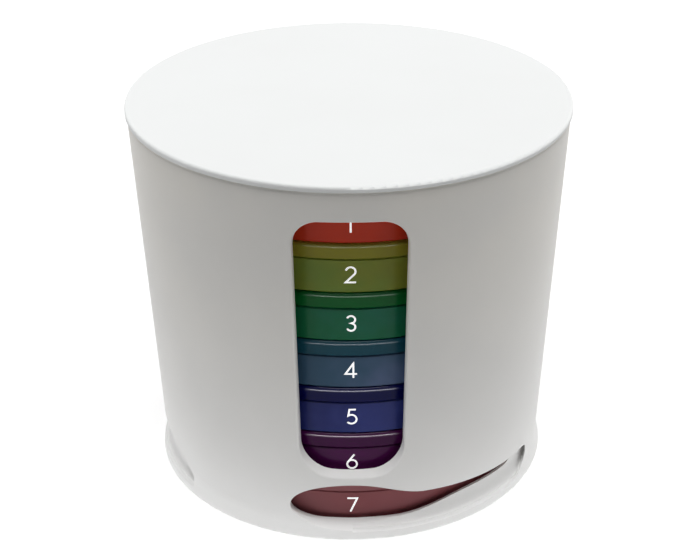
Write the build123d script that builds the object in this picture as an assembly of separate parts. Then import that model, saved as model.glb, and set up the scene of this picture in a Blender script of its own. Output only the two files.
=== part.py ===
from build123d import *
import os
from math import atan, cos, degrees, radians, sin, tan

# Weekly pill tower: a white tapered tub with a lift-off lid holds seven stacked day pods.
# Each pod is a round tray of four cells with a turning cover on a snap pin.
# Millimetres, +Z up, base on z = 0, window towards -Y, origin at the bottom centre.
# Day 1 is the top pod and day 7 the bottom one.

os.makedirs("parts", exist_ok=True)

# Day pod
pod_count = 7
pod_height = 14.0            # one pod, from the face it stands on to the top of its cover
pod_radius = 51.2            # outside of the cover's skirt
skirt_depth = 4.3            # the cover's skirt, down from its top face
skirt_wall = 1.2
skirt_gap = 0.3              # skirt to the tray's neck
cover_plate = 1.4
cover_round = 1.3            # rounding of the cover's top edge
cover_round_gap = 0.1        # left between a large rounding and the plate's underside
skirt_chamfer = 0.3
tray_inset = 0.4             # tray wall inside the skirt's outer face
tray_wall = 1.4              # wall round the cells, at the neck
tray_floor = 1.2
foot_recess = 0.9            # hollow under the tray, which clears the pin head below
foot_width = 4.6             # ring that the tray stands on
foot_chamfer = 0.45
shoulder_chamfer = 0.3
cell_count = 4               # morning, noon, evening, night
divider_wall = 1.2
cell_corner = 2.2
rim_gap = 0.2                # cell walls to the underside of the cover
boss_radius = 7.8            # inner wall of the cells
boss_seat = 1.0              # step in from there to the raised seat that carries the cover
door_margin = 2.6            # cover opening inside the closed sector's edges
door_corner = 3.0

# Snap pin
pin_radius = 2.95
pin_gap = 0.05               # running fit of the pin in the cover and the boss
pin_head_radius = 5.2
pin_head_thick = 0.7
pin_head_chamfer = 0.3
pin_head_gap = 0.3           # head to the side of its seat
pin_end_gap = 0.1            # head to the seat below it, and the shank to the end of its bore
pin_depth = 9.0              # shank below the cover's underside

# Tub
floor_height = 3.6           # top of the floor
floor_thick = 2.3
wall = 2.4
wall_gap = 0.65              # pod to the wall at the floor
draft = 3.25                 # degrees
headroom = 4.1               # top pod to the tub's rim
rim_round = 1.1
inner_round = 0.6
base_bulge = 1.4             # how far the foot of the tub swells past the line of the wall
base_bulge_high = 6.4        # height at which the swelling has faded into the wall
base_round = 1.3
base_ring = 7.0              # width of the ring that the tub stands on
rib_count = 6
rib_thick = 2.4
rib_gap = 0.3                # pod to the guide ribs
rib_start = 21.0
rib_lead = 2.5               # lead-in at the top of a rib
rib_top_gap = 1.0            # rib to the lid's skirt
rib_turn = 28.0              # first rib, degrees from the front

# Window
window_top_width = 27.8      # where the cut starts, at the inside of the wall
window_low_width = 26.7
window_low = 22.7
window_top_gap = 9.4         # below the tub's rim
window_top_round = 7.0
window_low_round = 8.4
window_edge_round = 0.5      # rounding of the outer edge
sill_slope = 0.68            # drop of the sill for each millimetre outwards, also under the front slot
side_slope = 0.14            # widening of each side and of the top, likewise

# Front finger slot: an oval head that runs out to the right in a narrow tail
slot_lip = 1.9               # lower lip above the floor
slot_left = 16.8             # left end of the head, from the middle
slot_left_round = 9.1        # how far in from there the rounding of its lower corner reaches
slot_top = 17.9
slot_middle = 9.8            # height of the left end
neck_x = 19.0
tail_top = 13.5              # upper edge of the tail at the neck
tail_tip_top = 11.3          # and at its tip
tail_low = 8.4
tail_low_x = 30.0            # where the lower edge has risen to that
tail_drop = 42.0             # where it turns up to the tip
tail_end = 45.5
lip_right = 11.0             # where the level lower lip ends

# Coves that let a fingertip in under the slots, above a rounded rim
base_rim = 3.8               # height of the rim
rim_lip_round = 1.0
rim_lip_crown = 0.02         # by which the lip's arc stays inside the rim's own surface
cove_skin = 1.0              # wall left behind a cove
cove_rise = 3.0              # height over which the front cove curves in
cove_end = 49.4              # far end of the front cove
cove_end_top = 10.9
cove_low_round = 5.0         # rounding of its far end, below
cove_high_round = 1.8        # and above

# Second finger slot, at the back left, in a cove that ends on a slanted crease
back_turn = -120.0           # degrees from the front
back_crease = 6.7            # height of the deepest line
back_cove_top = 17.0         # of the tool, which leaves the wall's surface a little lower
back_run_out = 0.8           # its distance outside the wall there
back_rise = 0.1              # slope at which the hollow leaves the rim
back_lean = 0.2              # and how much more than the wall it leans at its top
back_foot_half = 51.6        # half the cove's width at the rim
back_waist_half = 47.2       # and at the waist
back_waist = 10.9
back_waist_round = 6.0
back_top_half = 24.0
back_slot_half = 24.0
back_slot_low = 6.2
back_slot_high = 14.4

# Thumb recess under the lid, on the left
thumb_depth = 1.8
thumb_height = 13.0
thumb_radius = 40.0
thumb_reach = 80.0           # length of the round tool that cuts it

# Lid
lid_overhang = 0.5
lid_thick = 1.8
lid_top_round = 0.8
lid_low_round = 0.35
lid_skirt_depth = 4.0
lid_skirt_wall = 1.6
lid_gap = 0.35               # skirt to the tub's wall at the skirt's lower edge

# Sizes that follow from the ones above
taper = tan(radians(draft))
tray_radius = pod_radius - tray_inset
neck_radius = pod_radius - skirt_wall - skirt_gap
cell_radius = neck_radius - tray_wall
plate_low = pod_height - cover_plate
cell_top = plate_low - rim_gap
cell_low = foot_recess + tray_floor
skirt_low = pod_height - skirt_depth
shoulder = skirt_low - skirt_gap
pin_bore = pin_radius + pin_gap
seat_radius = pin_head_radius + pin_head_gap
seat_depth = pin_head_thick + pin_end_gap
sector = 360.0 / (cell_count + 1)
inner_floor_radius = pod_radius + wall_gap
rib_radius = pod_radius + rib_gap
tub_height = floor_height + pod_count * pod_height + headroom
window_high = tub_height - window_top_gap
rib_end = tub_height - lid_skirt_depth - rib_top_gap
lid_top = tub_height + lid_thick


def inner_radius(z):
    return inner_floor_radius + (z - floor_height) * taper


def outer_radius(z):
    return inner_radius(z) + wall


foot_radius = outer_radius(0) + base_bulge
cut_reach = outer_radius(tub_height) + wall
pick_reach = 0.05            # how near an edge has to be to be picked for rounding


def front_plane(distance):
    """A plane that faces the front, at a distance from the middle."""
    return Plane((0, -distance, 0), (1, 0, 0), (0, -1, 0))


def turned(points):
    """A body turned about Z from a closed outline of radius and height."""
    return revolve(Plane.XZ * make_face(Polyline(*points, close=True)), Axis.Z)


def turned_edges(body, radius, height):
    """Round edges of a turned body at one radius and height."""
    found = []
    for edge in body.edges().filter_by(GeomType.CIRCLE):
        edge_height = edge.center(CenterOf.BOUNDING_BOX).Z
        if abs(edge.radius - radius) < pick_reach and abs(edge_height - height) < pick_reach:
            found.append(edge)
    return found


def sector_face(inside, outside, middle, half, edge, corner):
    """A ring sector with straight sides set in by a margin and rounded corners."""
    apex = edge / sin(radians(half))
    far = outside * 2.0
    side = (apex + far * cos(radians(half)), far * sin(radians(half)))
    wedge = make_face(Polyline((apex, 0), side, (apex + far * 2.0, 0), (side[0], -side[1]), close=True))
    face = (Circle(outside) - Circle(inside)) & wedge
    face = fillet(face.vertices(), corner)
    return Rot(0, 0, middle) * face


# Tub

def tub_shell():
    """The tub's section turned about Z: a plain taper that swells out over a rounded heel."""
    top = tub_height
    ring = foot_radius - base_ring
    floor_low = floor_height - floor_thick
    heel_start = (foot_radius - base_round, 0)
    heel_end = (foot_radius, base_round)
    swell_end = (outer_radius(base_bulge_high), base_bulge_high)
    under = Polyline((0, floor_height), (0, floor_low), (ring, floor_low), (ring, 0), heel_start)
    heel = JernArc(heel_start, (1, 0), base_round, 90)
    swell = Spline(heel_end, swell_end, tangents=[(0, 1), (taper, 1)])
    side = Line(swell_end, (outer_radius(top), top))
    bore_top = (inner_radius(top), top)
    bore_low = (inner_radius(floor_height), floor_height)
    inside = Polyline((outer_radius(top), top), bore_top, bore_low, (0, floor_height))
    body = revolve(Plane.XZ * make_face([under, heel, swell, side, inside]), Axis.Z)
    body = fillet(turned_edges(body, outer_radius(top), top), rim_round)
    return fillet(turned_edges(body, inner_radius(top), top), inner_round)


def guide_ribs():
    """Upright ribs inside the wall, whose inner edges keep the stack upright."""
    points = [
        (rib_radius, rib_start),
        (rib_radius, rib_end - rib_lead),
        (rib_radius + rib_lead / 2, rib_end),
        (inner_radius(rib_end) + wall / 2, rib_end),
        (inner_radius(rib_start) + wall / 2, rib_start),
    ]
    plate = extrude(Plane.XZ * make_face(Polyline(*points, close=True)), rib_thick / 2, both=True)
    turn = (360.0 - 2 * rib_turn) / (rib_count - 1)
    return [Rot(0, 0, rib_turn - 90 + turn * i) * plate for i in range(rib_count)]


def window_face(drop, flare):
    """The window's outline, with its sill dropped and its sides and top moved out."""
    low_half = window_low_width / 2 + flare
    high_half = window_top_width / 2 + flare
    low = window_low - drop
    high = window_high + flare
    corners = [(-low_half, low), (low_half, low), (high_half, high), (-high_half, high)]
    face = make_face(Polyline(*corners, close=True))
    face = fillet(face.vertices().group_by(Axis.Y)[0], window_low_round)
    return fillet(face.vertices().group_by(Axis.Y)[-1], window_top_round)


def window_cut():
    """The window, which opens outwards from the inside of the wall."""
    start = (inner_radius(window_low) ** 2 - (window_low_width / 2) ** 2) ** 0.5
    depth = cut_reach - start
    near = front_plane(start) * window_face(0, 0)
    far = front_plane(cut_reach) * window_face(depth * sill_slope, depth * side_slope)
    return loft([near, far], ruled=True)


def soften_window(body):
    """Round the window's outer edge."""
    edges = []
    for edge in body.edges():
        middle = edge @ 0.5
        on_skin = abs((middle.X ** 2 + middle.Y ** 2) ** 0.5 - outer_radius(middle.Z)) < pick_reach
        in_front = middle.Y < 0 and abs(middle.X) < window_top_width
        in_height = window_low - wall < middle.Z < tub_height - rim_round * 2
        if on_skin and in_front and in_height:
            edges.append(edge)
    return fillet(edges, window_edge_round)


def slot_face():
    """The finger slot seen from the front."""
    lip = floor_height + slot_lip
    low_start = slot_left_round - slot_left
    left_up = EllipticalCenterArc((0, slot_middle), slot_left, slot_top - slot_middle, 90, arc_size=90)
    low_centre = (low_start, slot_middle)
    left_down = EllipticalCenterArc(low_centre, slot_left_round, slot_middle - lip, 180, arc_size=90)
    level = Line((low_start, lip), (lip_right, lip))
    rise = Spline((lip_right, lip), (tail_low_x, tail_low), (tail_drop, tail_low), tangents=[(1, 0), (1, 0)])
    tip = Spline((tail_drop, tail_low), (tail_end, tail_tip_top), tangents=[(1, 0), (0.5, 1)])
    top = Line((tail_end, tail_tip_top), (neck_x, tail_top))
    head = Spline((neck_x, tail_top), (0, slot_top), tangents=[(-1, 0.15), (-1, 0)])
    return make_face([left_up, left_down, level, rise, tip, top, head])


def cove_face():
    """Where the wall is hollowed below and beyond the tail, seen from the front."""
    low = base_rim - rim_lip_round
    points = [(0, low), (cove_end, low), (cove_end, cove_end_top), (tail_end, tail_tip_top)]
    points += [(neck_x, tail_top), (0, slot_middle)]
    face = make_face(Polyline(*points, close=True))
    face = fillet(face.vertices().sort_by_distance((cove_end, low))[0], cove_low_round)
    return fillet(face.vertices().sort_by_distance((cove_end, cove_end_top))[0], cove_high_round)


def rim_lip():
    """The rounded upper edge of the rim below a cove, from outside the wall to the cove's ledge."""
    low = base_rim - rim_lip_round
    foot = (foot_radius + rim_lip_crown, low)
    lead = Line((cut_reach, low), foot)
    return [lead, RadiusArc(foot, (foot_radius - rim_lip_round, base_rim), rim_lip_round + rim_lip_crown)]


def cove_ring():
    """The front cove's section turned about Z: a rounded rim, a ledge and a concave rise."""
    skin = inner_radius(base_rim) + cove_skin
    ledge = foot_radius - rim_lip_round
    high = slot_top + wall
    low = base_rim - rim_lip_round
    rise = EllipticalCenterArc((ledge, base_rim + cove_rise), ledge - skin, cove_rise, 180, arc_size=90)
    back = Polyline((skin, base_rim + cove_rise), (skin, high), (cut_reach, high), (cut_reach, low))
    return revolve(Plane.XZ * make_face(rim_lip() + [rise, back]), Axis.Z)


def front_slot_cuts():
    """The slot, cut straight through and again on a slope for its lip, and the cove round its tail."""
    front = front_plane(0)
    start = inner_radius(floor_height)
    inside = front_plane(start)
    through = extrude(front * slot_face(), cut_reach)
    sloped = extrude(inside * slot_face(), cut_reach - start, dir=(0, -1, -sill_slope))
    hollow = extrude(front * cove_face(), cut_reach)
    return [through, sloped, cove_ring() & hollow]


def back_cove_face():
    """The back cove seen square on: wide at the rim, drawn in to a level top."""
    right = [(back_foot_half, 0), (back_waist_half, back_waist), (back_top_half, back_cove_top)]
    left = [(-x, z) for x, z in reversed(right)]
    face = make_face(Polyline(*right, *left, close=True))
    for x in (-back_waist_half, back_waist_half):
        face = fillet(face.vertices().sort_by_distance((x, back_waist))[0], back_waist_round)
    return face


def back_cove_ring():
    """The back cove's section turned about Z: a rounded rim, then a hollow that runs out into the wall."""
    deep = (outer_radius(back_crease) - wall + cove_skin, back_crease)
    ledge = (foot_radius - rim_lip_round, base_rim)
    fade = (outer_radius(back_cove_top) + back_run_out, back_cove_top)
    hollow = Spline(ledge, deep, fade, tangents=[(-1, back_rise), (taper + back_lean, 1)])
    back = Polyline(fade, (cut_reach, back_cove_top), (cut_reach, base_rim - rim_lip_round))
    return revolve(Plane.XZ * make_face(rim_lip() + [hollow, back]), Axis.Z)


def back_slot_cuts():
    front = front_plane(0)
    hollow = extrude(front * back_cove_face(), cut_reach)
    slot = SlotOverall(back_slot_half * 2, back_slot_high - back_slot_low)
    through = extrude(front * Pos(0, (back_slot_high + back_slot_low) / 2) * slot, cut_reach)
    return [Rot(0, 0, back_turn) * (back_cove_ring() & hollow), Rot(0, 0, back_turn) * through]


def thumb_cut():
    top = outer_radius(tub_height)
    lean = degrees(atan(thumb_depth / thumb_height - taper))
    tool = Cylinder(thumb_radius, thumb_reach)
    axis_x = -(top - thumb_depth + thumb_radius)
    return Pos(axis_x, 0, tub_height) * Rot(0, lean, 0) * tool


def tub():
    body = tub_shell()
    for rib in guide_ribs():
        body = body + rib
    body = soften_window(body - window_cut())
    for cut in front_slot_cuts() + back_slot_cuts() + [thumb_cut()]:
        body = body - cut
    return body


# Lid

def lid():
    edge = outer_radius(tub_height) + lid_overhang
    skirt_low_z = tub_height - lid_skirt_depth
    skirt = inner_radius(skirt_low_z) - lid_gap
    points = [
        (0, tub_height),
        (skirt - lid_skirt_wall, tub_height),
        (skirt - lid_skirt_wall, skirt_low_z),
        (skirt, skirt_low_z),
        (skirt, tub_height),
        (edge, tub_height),
        (edge, lid_top),
        (0, lid_top),
    ]
    body = turned(points)
    body = fillet(turned_edges(body, edge, lid_top), lid_top_round)
    return fillet(turned_edges(body, edge, tub_height), lid_low_round)


# Day pod, drawn standing on z = 0

def pod_tray():
    """Four open cells and a closed front sector round a boss."""
    foot = tray_radius - foot_width
    points = [
        (0, foot_recess),
        (foot, foot_recess),
        (foot, 0),
        (tray_radius, 0),
        (tray_radius, shoulder),
        (neck_radius, shoulder),
        (neck_radius, cell_top),
        (boss_radius - boss_seat, cell_top),
        (boss_radius - boss_seat, plate_low),
        (0, plate_low),
    ]
    body = turned(points)
    body = chamfer(turned_edges(body, tray_radius, 0), foot_chamfer)
    body = chamfer(turned_edges(body, tray_radius, shoulder), shoulder_chamfer)
    for i in range(cell_count):
        middle = -90 + sector * (i + 1)
        face = sector_face(boss_radius, cell_radius, middle, sector / 2, divider_wall / 2, cell_corner)
        body = body - extrude(Pos(0, 0, cell_low) * face, pod_height)
    bore_low = plate_low - pin_depth - pin_end_gap
    bore = Cylinder(pin_bore, pod_height, align=(Align.CENTER, Align.CENTER, Align.MIN))
    return body - Pos(0, 0, bore_low) * bore


def pod_cover():
    """A dial cover with one opening, parked over the closed sector."""
    points = [
        (pin_bore, plate_low),
        (neck_radius + skirt_gap, plate_low),
        (neck_radius + skirt_gap, skirt_low),
        (pod_radius, skirt_low),
        (pod_radius, pod_height),
        (seat_radius, pod_height),
        (seat_radius, pod_height - seat_depth),
        (pin_bore, pod_height - seat_depth),
    ]
    body = turned(points)
    edge_round = min(cover_round, cover_plate - cover_round_gap)
    body = fillet(turned_edges(body, pod_radius, pod_height), edge_round)
    body = chamfer(turned_edges(body, pod_radius, skirt_low), skirt_chamfer)
    inside = boss_radius + door_margin
    outside = cell_radius - door_margin
    face = sector_face(inside, outside, -90, sector / 2, door_margin, door_corner)
    return body - extrude(face, pod_height * 2)


def hub_pin():
    head_low = pod_height - pin_head_thick
    shank_low = plate_low - pin_depth
    points = [
        (0, shank_low),
        (pin_radius, shank_low),
        (pin_radius, head_low),
        (pin_head_radius, head_low),
        (pin_head_radius, pod_height),
        (0, pod_height),
    ]
    body = turned(points)
    return chamfer(turned_edges(body, pin_head_radius, pod_height), pin_head_chamfer)


def write(shape, node):
    export_step(shape, f"parts/{node}.step")


write(tub(), "tub")
write(lid(), "lid")
tray = pod_tray()
cover = pod_cover()
pin = hub_pin()
for day in range(1, pod_count + 1):
    lift = Pos(0, 0, floor_height + (pod_count - day) * pod_height)
    write(lift * tray, f"pod_tray_{day}")
    write(lift * cover, f"pod_cover_{day}")
    write(lift * pin, f"hub_pin_{day}")
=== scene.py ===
import bpy
import math
import numpy as np
from mathutils import Matrix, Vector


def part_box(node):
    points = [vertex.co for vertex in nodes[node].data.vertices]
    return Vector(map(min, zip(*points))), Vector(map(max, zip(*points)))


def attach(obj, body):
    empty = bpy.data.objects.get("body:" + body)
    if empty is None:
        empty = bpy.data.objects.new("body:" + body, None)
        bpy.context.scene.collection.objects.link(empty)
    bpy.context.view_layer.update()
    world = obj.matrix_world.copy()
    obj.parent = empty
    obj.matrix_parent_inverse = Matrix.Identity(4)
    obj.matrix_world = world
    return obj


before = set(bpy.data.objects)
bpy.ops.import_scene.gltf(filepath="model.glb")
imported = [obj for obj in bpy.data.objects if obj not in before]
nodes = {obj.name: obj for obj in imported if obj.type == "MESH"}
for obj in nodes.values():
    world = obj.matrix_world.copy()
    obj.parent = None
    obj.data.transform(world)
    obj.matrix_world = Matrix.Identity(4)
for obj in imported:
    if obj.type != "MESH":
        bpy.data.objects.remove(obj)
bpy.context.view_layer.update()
mm = 0.001
dayCount = 7
print("frame loaded:", len(nodes), "nodes")


# Camera, at the photograph's place. Pixels are those of the 700 by 560 picture, angles are in radians.
view = {
    "pictureWidth": 700,
    "pictureHeight": 560,
    "focalPixels": 1765.8,
    "axisX": 389.5,
    "axisY": 280.5,
    "pitchDown": 0.4758,
    "turn": -0.0247,
    "roll": -0.0038,
    "distance": 448.5 * mm,
    "height": 282.1 * mm,
    "sensorWidth": 36.0,
    "nearest": 10.0 * mm,
    "farthest": 20.0,
}


def placeCamera(values):
    # Right, up and back axes: a level frame turned about Z, pitched down, then rolled about the sight line.
    data = bpy.data.cameras.new("camera")
    data.sensor_width = values["sensorWidth"]
    data.lens = values["sensorWidth"] * values["focalPixels"] / values["pictureWidth"]
    data.shift_x = (values["pictureWidth"] / 2 - values["axisX"]) / values["pictureWidth"]
    data.shift_y = (values["axisY"] - values["pictureHeight"] / 2) / values["pictureWidth"]
    data.clip_start = values["nearest"]
    data.clip_end = values["farthest"]
    level = np.array([-math.sin(values["turn"]), math.cos(values["turn"]), 0])
    right = np.array([math.cos(values["turn"]), math.sin(values["turn"]), 0])
    up = np.array([0, 0, 1])
    forward = math.cos(values["pitchDown"]) * level - math.sin(values["pitchDown"]) * up
    lifted = math.cos(values["pitchDown"]) * up + math.sin(values["pitchDown"]) * level
    rolledRight = math.cos(values["roll"]) * right - math.sin(values["roll"]) * lifted
    rolledUp = math.sin(values["roll"]) * right + math.cos(values["roll"]) * lifted
    place = np.eye(4)
    place[:3, 0], place[:3, 1], place[:3, 2] = rolledRight, rolledUp, -forward
    place[:3, 3] = (0, -values["distance"], values["height"])
    camera = bpy.data.objects.new("camera", data)
    camera.matrix_world = Matrix(place.tolist())
    bpy.context.scene.collection.objects.link(camera)
    bpy.context.scene.camera = camera
    print("camera placed, lens", round(data.lens, 1))


placeCamera(view)


# One output of a shader node. Plus, minus, times and divide on it, and a power of it, add Math nodes.
class Wire:
    def __init__(self, tree, socket):
        self.tree = tree
        self.socket = socket

    def maths(self, operation, first, second=0.0):
        return addNode(self.tree, "ShaderNodeMath", {"operation": operation}, {0: first, 1: second})

    def __add__(self, other):
        return self.maths("ADD", self, other)

    def __radd__(self, other):
        return self.maths("ADD", other, self)

    def __sub__(self, other):
        return self.maths("SUBTRACT", self, other)

    def __rsub__(self, other):
        return self.maths("SUBTRACT", other, self)

    def __mul__(self, other):
        return self.maths("MULTIPLY", self, other)

    def __rmul__(self, other):
        return self.maths("MULTIPLY", other, self)

    def __truediv__(self, other):
        return self.maths("DIVIDE", self, other)

    def __rtruediv__(self, other):
        return self.maths("DIVIDE", other, self)

    def __rpow__(self, other):
        return self.maths("POWER", other, self)


def addNode(tree, kind, settings=None, inputs=None, output=0):
    # Settings come first because some of them change which sockets the node has.
    node = tree.nodes.new(kind)
    for name, value in (settings or {}).items():
        setattr(node, name, value)
    for name, value in (inputs or {}).items():
        if isinstance(value, Wire):
            tree.links.new(value.socket, node.inputs[name])
        else:
            node.inputs[name].default_value = value
    return Wire(tree, node.outputs[output])


def mixColour(tree, share, first, second):
    # Sockets 6 and 7 of a Mix node are its two colours, and output 2 is the mixed one.
    settings = {"data_type": "RGBA"}
    first = first if isinstance(first, Wire) else (*first, 1.0)
    second = second if isinstance(second, Wire) else (*second, 1.0)
    return addNode(tree, "ShaderNodeMix", settings, {0: share, 6: first, 7: second}, 2)


def ease(tree, value, low, high):
    # 0 below low, 1 above high, with a smooth step between.
    settings = {"interpolation_type": "SMOOTHSTEP"}
    inputs = {0: value, 1: low, 2: high, 3: 0.0, 4: 1.0}
    return addNode(tree, "ShaderNodeMapRange", settings, inputs)


def noise(tree, where, scale, detail, roughness=0.5):
    inputs = {"Vector": where, "Scale": scale, "Detail": detail, "Roughness": roughness}
    return addNode(tree, "ShaderNodeTexNoise", None, inputs)


def objectPlace(tree):
    # Object coordinates, in metres.
    return addNode(tree, "ShaderNodeTexCoord", None, None, "Object")


def axisOf(tree, where, axis):
    return addNode(tree, "ShaderNodeSeparateXYZ", None, {0: where}, axis)


def newMaterial(name, fixed):
    # A Principled shader whose uniform numbers sit on its own sockets.
    material = bpy.data.materials.new(name)
    material.use_nodes = True
    tree = material.node_tree
    tree.nodes.clear()
    shader = tree.nodes.new("ShaderNodeBsdfPrincipled")
    for socket, value in fixed.items():
        shader.inputs[socket].default_value = value
    output = tree.nodes.new("ShaderNodeOutputMaterial")
    tree.links.new(shader.outputs[0], output.inputs[0])
    return material, tree, shader


socketNames = {
    "colour": "Base Color",
    "roughness": "Roughness",
    "normal": "Normal",
    "coat": "Coat Weight",
    "glow": "Emission Color",
}


def feed(tree, shader, **wires):
    for name, wire in wires.items():
        tree.links.new(wire.socket, shader.inputs[socketNames[name]])


# White moulded plastic of the tub and the lid
shellLook = {
    "pale": (0.86, 0.86, 0.855),
    # The lid's white is a touch paler than the tub's, painted light for its brightly lit top
    "lid": (0.880, 0.893, 0.889),
    "warm": (0.890, 0.864, 0.808),
    "warmHeight": 105.0 * mm,
    "cloud": (0.80, 0.795, 0.78),
    "scuff": (0.62, 0.61, 0.59),
    "ior": 1.49,
    "shine": 0.20,
    "roughness": 0.36,
    "roughnessSpread": 0.10,
    "cloudScale": 22.0,
    "cloudDetail": 4.0,
    "cloudRange": (0.35, 0.7),
    "tubClouds": 0.5,
    "lidClouds": 0.12,
    "grainScale": 2400.0,
    "grainDetail": 2.0,
    "grainDepth": 0.018 * mm,
    "grainRoughness": 0.06,
    "sinkScale": 34.0,
    "sinkDetail": 1.0,
    "sinkDepth": 0.05 * mm,
    "scuffHeight": 1.6 * mm,
    "scuffScale": 420.0,
    "scuffDetail": 6.0,
    "scuffGrit": 0.7,
    "scuffRange": (0.45, 0.62),
    "scuffShare": 0.6,
    "scuffRoughness": 0.2,
}


def shellPlastic(name, look, pale, warm, cloudShare):
    # Slow clouds and a warmer tone higher up, fine moulded grain, shallow sinks, and scuffs along the foot.
    material, tree, shader = newMaterial(name, {"IOR": look["ior"], "Specular IOR Level": look["shine"]})
    where = objectPlace(tree)
    cloud = noise(tree, where, look["cloudScale"], look["cloudDetail"])
    grain = noise(tree, where, look["grainScale"], look["grainDetail"])
    sink = noise(tree, where, look["sinkScale"], look["sinkDetail"])
    scuff = noise(tree, where, look["scuffScale"], look["scuffDetail"], look["scuffGrit"])
    height = axisOf(tree, where, 2)
    low = 1.0 - ease(tree, height, 0.0, look["scuffHeight"])
    worn = low * ease(tree, scuff, *look["scuffRange"])
    colour = mixColour(tree, height / look["warmHeight"], pale, warm)
    colour = mixColour(tree, cloudShare * ease(tree, cloud, *look["cloudRange"]), colour, look["cloud"])
    colour = mixColour(tree, worn * look["scuffShare"], colour, look["scuff"])
    rough = look["roughness"] + look["roughnessSpread"] * cloud
    rough = rough + look["grainRoughness"] * grain + look["scuffRoughness"] * worn
    relief = grain * look["grainDepth"] + sink * look["sinkDepth"]
    bump = addNode(tree, "ShaderNodeBump", None, {"Height": relief, "Distance": 1.0, "Strength": 1.0})
    feed(tree, shader, colour=colour, roughness=rough, normal=bump)
    return material


# Clear tinted plastic of the seven day pods, from the top one down: a deep tint, and a lighter one for thin
# walls, partly painted light
podTints = {
    1: ((0.76, 0.060, 0.024), (0.78, 0.062, 0.026)),
    2: ((0.38, 0.35, 0.040), (0.24, 0.36, 0.065)),
    3: ((0.003, 0.15, 0.028), (0.020, 0.19, 0.115)),
    4: ((0.010, 0.080, 0.12), (0.125, 0.175, 0.32)),
    5: ((0.002, 0.003, 0.075), (0.042, 0.056, 0.25)),
    6: ((0.062, 0.003, 0.060), (0.098, 0.008, 0.090)),
    7: ((0.30, 0.110, 0.120), (0.30, 0.090, 0.100)),
}

# Shares of height run from 0 at the tray's foot to 1 at the top of the cover
podLook = {
    "ior": 1.40,
    "shine": 0.10,
    "roughness": 0.13,
    "roughnessSpread": 0.10,
    "transmission": 0.15,
    "glintCoat": {1: 0.3, 2: 0.16, 3: 0.22, 4: 0.35, 5: 0.75, 6: 0.9, 7: 0.4},
    "glintIor": 1.6,
    "glintRoughness": 0.12,
    "glintTint": 0.35,
    "glintRise": (0.912, 0.922),
    "glintFall": (0.948, 0.960),
    "cloudScale": 45.0,
    "cloudDetail": 3.0,
    "cloudRange": (0.3, 0.7),
    "flowScale": (30.0, 30.0, 260.0),
    "flowDetail": 3.0,
    "rippleDepth": 0.02 * mm,
    # Painted light, partly: below the wall's top the lighter tint is mixed in, at least this share, for light
    # shining through the thin wall
    "wallTop": (0.66, 0.72),
    "wallLitThinLeast": 0.35,
}


def podPlastic(day, look):
    # The tray's lower wall takes the lighter tint, its own thinner colour plus painted light shining through;
    # a narrow coat on the cover's edge catches the glint.
    deep, litThinTint = podTints[day]
    glint = [1.0 - look["glintTint"] * (1.0 - value / max(litThinTint)) for value in litThinTint]
    fixed = {
        "IOR": look["ior"],
        "Specular IOR Level": look["shine"],
        "Transmission Weight": look["transmission"],
        "Coat IOR": look["glintIor"],
        "Coat Roughness": look["glintRoughness"],
        "Coat Tint": (*glint, 1.0),
    }
    material, tree, shader = newMaterial(f"day_{day}_plastic_look", fixed)
    low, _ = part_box(f"pod_tray_{day}")
    _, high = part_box(f"pod_cover_{day}")
    where = objectPlace(tree)
    stretched = addNode(tree, "ShaderNodeMapping", None, {"Vector": where, "Scale": look["flowScale"]})
    flow = noise(tree, stretched, 1.0, look["flowDetail"])
    cloud = ease(tree, noise(tree, where, look["cloudScale"], look["cloudDetail"]), *look["cloudRange"])
    share = (axisOf(tree, where, 2) - low.z) / (high.z - low.z)
    # Painted light, partly: the lighter tint on the tray's lower wall stands for light shining through the
    # thin plastic, as well as its own paler colour
    wallZone = 1.0 - ease(tree, share, *look["wallTop"])
    litThinShare = wallZone * (look["wallLitThinLeast"] + (1.0 - look["wallLitThinLeast"]) * cloud)
    colour = mixColour(tree, litThinShare, deep, litThinTint)
    rough = look["roughness"] + look["roughnessSpread"] * flow
    bump = addNode(tree, "ShaderNodeBump", None, {"Height": flow, "Distance": look["rippleDepth"]})
    rise = ease(tree, share, *look["glintRise"])
    fall = ease(tree, share, *look["glintFall"])
    edge = look["glintCoat"][day] * rise * (1.0 - fall)
    feed(tree, shader, colour=colour, roughness=rough, normal=bump, coat=edge)
    return material


# White printed numbers, one on the front of each pod. The print also glows a little, painted light that keeps
# it bright in the shaded window
printLook = {
    "colour": (0.95, 0.95, 0.95),
    "faded": (0.90, 0.90, 0.90),
    "ior": 1.45,
    # Glow of the print's own colour: painted light, though no lamp is there
    "glow": 0.62,
    "roughness": 0.45,
    "roughnessSpread": 0.12,
    "speckScale": 1800.0,
    "speckDetail": 3.0,
    "speckRange": (0.5, 0.75),
    "speckDepth": 0.01 * mm,
}


def printPaintAndGlow(look):
    # The print glows with its own colour: painted light that brightens it where the window is in shade.
    fixed = {"IOR": look["ior"], "Emission Strength": look["glow"]}
    material, tree, shader = newMaterial("white_print_and_painted_glow", fixed)
    speck = noise(tree, objectPlace(tree), look["speckScale"], look["speckDetail"])
    colour = mixColour(tree, ease(tree, speck, *look["speckRange"]), look["colour"], look["faded"])
    rough = look["roughness"] + look["roughnessSpread"] * speck
    bump = addNode(tree, "ShaderNodeBump", None, {"Height": speck, "Distance": look["speckDepth"]})
    feed(tree, shader, colour=colour, roughness=rough, normal=bump, glow=colour)
    return material


def dress(node, material):
    node.data.materials.clear()
    node.data.materials.append(material)


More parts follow.
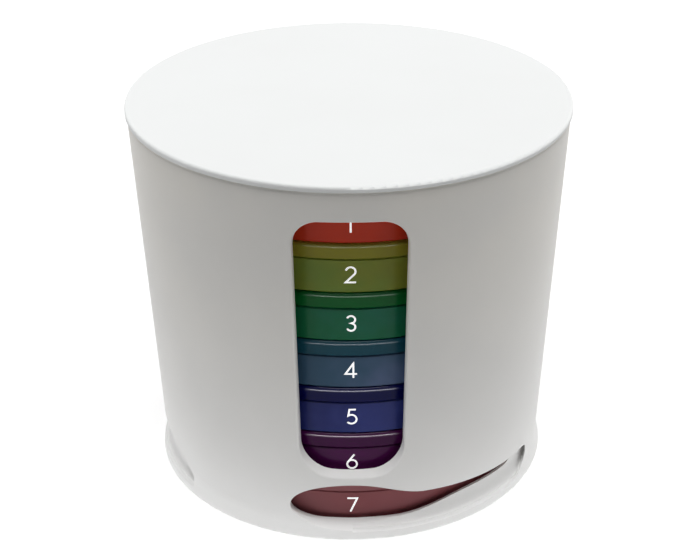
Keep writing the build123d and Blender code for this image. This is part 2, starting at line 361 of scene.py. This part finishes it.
# The lid takes its paler white, painted light for its lit top
pale, warm, lidWhitePaintedBrighter = shellLook["pale"], shellLook["warm"], shellLook["lid"]
dress(nodes["tub"], shellPlastic("white_shell_look", shellLook, pale, warm, shellLook["tubClouds"]))
dress(nodes["lid"], shellPlastic("white_lid_look", shellLook, lidWhitePaintedBrighter, lidWhitePaintedBrighter, shellLook["lidClouds"]))
for day in range(1, dayCount + 1):
    tinted = podPlastic(day, podLook)
    for part in ("pod_tray", "pod_cover", "hub_pin"):
        dress(nodes[f"{part}_{day}"], tinted)
print("finishes made")


# The numbers: each is one pen line in a box one cap height tall, with its foot on 0
numbers = {
    "capHeight": 4.3 * mm,
    "foot": 3.05 * mm,
    "penWidth": 0.48 * mm,
    "filmThick": 0.05 * mm,
    "filmSink": 0.004 * mm,
    "filmFlatness": 2.2,
    "filmPoints": 9,
    "sharpestMitre": 0.35,
    "runsPerCap": 12,
    "arcPoints": 28,
    "loopPoints": 48,
}


def arc(centreX, centreY, radius, start, end, count=numbers["arcPoints"]):
    # Points on a circle from the start angle to the end angle, in degrees.
    angle = np.radians(np.linspace(start, end, count))
    return np.stack([centreX + radius * np.cos(angle), centreY + radius * np.sin(angle)], 1)


def penLine(day):
    # The number's strokes as points, in cap heights from its middle and its foot.
    if day == 1:
        return np.array([(-0.22, 0.76), (0.02, 1.0), (0.02, 0.0)])
    if day == 2:
        bowl = arc(0.0, 0.715, 0.285, 165, -40)
        return np.vstack([bowl, [(-0.30, 0.0), (0.31, 0.0)]])
    if day == 3:
        upper = arc(0.0, 0.755, 0.245, 155, -90)
        lower = arc(0.0, 0.255, 0.255, 90, -155)
        return np.vstack([upper, lower[1:]])
    if day == 4:
        return np.array([(0.12, 0.0), (0.12, 1.0), (-0.36, 0.27), (0.34, 0.27)])
    if day == 5:
        bowl = arc(-0.02, 0.315, 0.315, 128, -140)
        return np.vstack([[(0.25, 1.0), (-0.14, 1.0)], bowl])
    if day == 6:
        bowl = arc(0.0, 0.30, 0.30, 144, 504, numbers["loopPoints"])
        return np.vstack([[(0.14, 1.0)], bowl])
    return np.array([(-0.31, 1.0), (0.31, 1.0), (-0.12, 0.0)])


def fillLine(points, step):
    # Straight runs get more points, so that the print bends with the wall; corners stay.
    pieces = []
    for start, end in zip(points[:-1], points[1:]):
        count = max(1, int(math.ceil(np.linalg.norm(end - start) / step)))
        pieces.append(start + (end - start) * np.linspace(0, 1, count, endpoint=False)[:, None])
    return np.vstack(pieces + [points[-1:]])


def printedNumber(day, values, material):
    # A low half-round film swept along the pen line, mitred at corners, then wrapped on the tray's wall:
    # x becomes an angle from the front, x / radius, and the film stands out along the radius.
    low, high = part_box(f"pod_tray_{day}")
    radius = (high.x - low.x) / 2
    line = fillLine(penLine(day) * values["capHeight"], values["capHeight"] / values["runsPerCap"])
    run = np.diff(line, axis=0)
    run /= np.linalg.norm(run, axis=1)[:, None]
    before = np.vstack([run[:1], run])
    after = np.vstack([run, run[-1:]])
    mid = before + after
    mid /= np.linalg.norm(mid, axis=1)[:, None]
    side = np.stack([-mid[:, 1], mid[:, 0]], 1)
    mitre = 1.0 / np.maximum(values["sharpestMitre"], (mid * before).sum(1))
    around = np.linspace(0, math.pi, values["filmPoints"])
    across = -np.cos(around) * values["penWidth"] / 2
    above = np.minimum(1.0, values["filmFlatness"] * np.sin(around)) * values["filmThick"]
    flat = line[:, None, :] + side[:, None, :] * (across[None, :] * mitre[:, None])[:, :, None]
    out = radius - values["filmSink"] + above[None, :] + np.zeros((len(line), 1))
    angle = flat[..., 0] / radius
    height = low.z + values["foot"] + flat[..., 1]
    grid = np.stack([out * np.sin(angle), -out * np.cos(angle), height], -1)
    rows, columns = grid.shape[:2]
    index = np.arange(rows * columns).reshape(rows, columns)
    quads = np.stack([index[:-1, :-1], index[1:, :-1], index[1:, 1:], index[:-1, 1:]], -1).reshape(-1, 4)
    back = np.stack([index[:-1, 0], index[:-1, -1], index[1:, -1], index[1:, 0]], -1)
    faces = [face[::-1] for face in quads.tolist() + back.tolist()]
    faces += [index[0].tolist()[::-1], index[-1].tolist()]
    mesh = bpy.data.meshes.new(f"day_number_{day}")
    mesh.from_pydata(grid.reshape(-1, 3).tolist(), [], faces)
    mesh.update()
    piece = bpy.data.objects.new(f"day_number_{day}", mesh)
    bpy.context.scene.collection.objects.link(piece)
    dress(piece, material)
    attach(piece, f"pod_{day}")


paint = printPaintAndGlow(printLook)
for day in range(1, dayCount + 1):
    printedNumber(day, numbers, paint)
print("numbers printed")


# Floor, lamps and world, in metres. The overhead lamp shines evenly from far away, with its power per
# square metre, so that a raised lid isn't brighter. The others are panels, with their power in watts.
# The one named as onlyMirrored shows in shiny faces and lights nothing else.
studio = {
    "floorHalf": 3.0,
    "floorColour": (0.36, 0.36, 0.36),
    "floorRoughness": 0.7,
    "floorSpecular": 0.2,
    "floorShine": 0.70,
    "floorGlow": 1.2,
    "glowReach": 0.085,
    "whiteReach": 0.40,
    "backdrop": 1.0,
    "lamps": {
        "overhead": {"place": (0.0, -0.17, 1.52), "aim": (0, 0, 0.08), "spread": 0.62, "power": 3.08},
        "left": {"place": (-0.60, -0.05, 0.10), "aim": (0, 0, 0.05), "size": (0.5, 0.2), "power": 0.50},
        "right": {"place": (0.60, -0.05, 0.10), "aim": (0, 0, 0.05), "size": (0.5, 0.2), "power": 0.50},
        "backLeft": {"place": (-0.55, 0.50, 0.22), "aim": (0, 0, 0.05), "size": (0.5, 0.4), "power": 0.35},
        "glint": {"place": (0.0, -0.80, 0.16), "aim": (0, 0, 0.05), "size": (0.70, 0.10), "power": 3.0},
        "backRight": {"place": (0.55, 0.50, 0.22), "aim": (0, 0, 0.05), "size": (0.5, 0.4), "power": 0.8},
    },
    "onlyMirrored": "glint",
}


def cameraSees(tree):
    # 1 where the backdrop is seen straight, in a mirror or through glass.
    straight = addNode(tree, "ShaderNodeLightPath", None, None, "Is Camera Ray")
    mirrored = addNode(tree, "ShaderNodeLightPath", None, None, "Is Glossy Ray")
    through = addNode(tree, "ShaderNodeLightPath", None, None, "Is Transmission Ray")
    return addNode(tree, "ShaderNodeClamp", None, {0: straight + through + mirrored})


def fadeOut(tree, reach):
    # From 1 at the middle of the floor outwards: 2 to the power of minus (distance / reach) squared.
    where = objectPlace(tree)
    across = axisOf(tree, where, 0) / reach
    along = axisOf(tree, where, 1) / reach
    return 2.0 ** (0.0 - (across * across + along * along))


def makeFloor(values):
    half = values["floorHalf"]
    corners = [(-half, -half, 0), (half, -half, 0), (half, half, 0), (-half, half, 0)]
    mesh = bpy.data.meshes.new("floor")
    mesh.from_pydata(corners, [], [(0, 1, 2, 3)])
    floor = bpy.data.objects.new("floor", mesh)
    bpy.context.scene.collection.objects.link(floor)
    fixed = {
        "Base Color": (*values["floorColour"], 1.0),
        "Roughness": values["floorRoughness"],
        "Specular IOR Level": values["floorSpecular"],
        "Emission Strength": values["floorGlow"],
    }
    material, tree, shader = newMaterial("pale_floor", fixed)
    # The lit patch under the object only bounces; the eye and mirrors see the floor whiten with distance.
    seenHere = cameraSees(tree)
    patch = fadeOut(tree, values["glowReach"]) * (1.0 - seenHere)
    feed(tree, shader, glow=mixColour(tree, patch, (0, 0, 0), (1, 1, 1)))
    shine = 1.0 - (1.0 - values["floorShine"]) * fadeOut(tree, values["whiteReach"])
    glow = addNode(tree, "ShaderNodeEmission", None, {"Color": (1, 1, 1, 1), "Strength": 1.0})
    nothing = addNode(tree, "ShaderNodeEmission", None, {"Strength": 0.0})
    seen = addNode(tree, "ShaderNodeMixShader", None, {0: seenHere * shine, 1: nothing, 2: glow})
    both = addNode(tree, "ShaderNodeAddShader", None, {0: Wire(tree, shader.outputs[0]), 1: seen})
    output = next(node for node in tree.nodes if node.type == "OUTPUT_MATERIAL")
    tree.links.new(both.socket, output.inputs[0])
    dress(floor, material)


def makeWorld(values):
    world = bpy.data.worlds.new("studio")
    world.use_nodes = True
    tree = world.node_tree
    tree.nodes.clear()
    strength = values["backdrop"] * cameraSees(tree)
    sky = addNode(tree, "ShaderNodeBackground", None, {"Color": (1, 1, 1, 1), "Strength": strength})
    output = tree.nodes.new("ShaderNodeOutputWorld")
    tree.links.new(sky.socket, output.inputs[0])
    bpy.context.scene.world = world


def makeLamp(name, lamp):
    # A lamp shines along minus its back axis, so that axis points from the aim to the lamp.
    even = "spread" in lamp
    data = bpy.data.lights.new(name, "SUN" if even else "AREA")
    if even:
        data.angle = lamp["spread"]
    else:
        data.shape = "RECTANGLE"
        data.size, data.size_y = lamp["size"]
    data.energy = lamp["power"]
    back = np.array(lamp["place"], float) - np.array(lamp["aim"], float)
    back /= np.linalg.norm(back)
    right = np.cross((0, 1, 0) if even else (0, 0, 1), back)
    right /= np.linalg.norm(right)
    place = np.eye(4)
    place[:3, 0], place[:3, 1], place[:3, 2] = right, np.cross(back, right), back
    place[:3, 3] = lamp["place"]
    light = bpy.data.objects.new(name, data)
    light.matrix_world = Matrix(place.tolist())
    light.visible_diffuse = name != studio["onlyMirrored"]
    bpy.context.scene.collection.objects.link(light)


makeFloor(studio)
makeWorld(studio)
for name, lamp in studio["lamps"].items():
    makeLamp(name, lamp)
bpy.context.scene.view_settings.view_transform = "Standard"
print("studio lit")
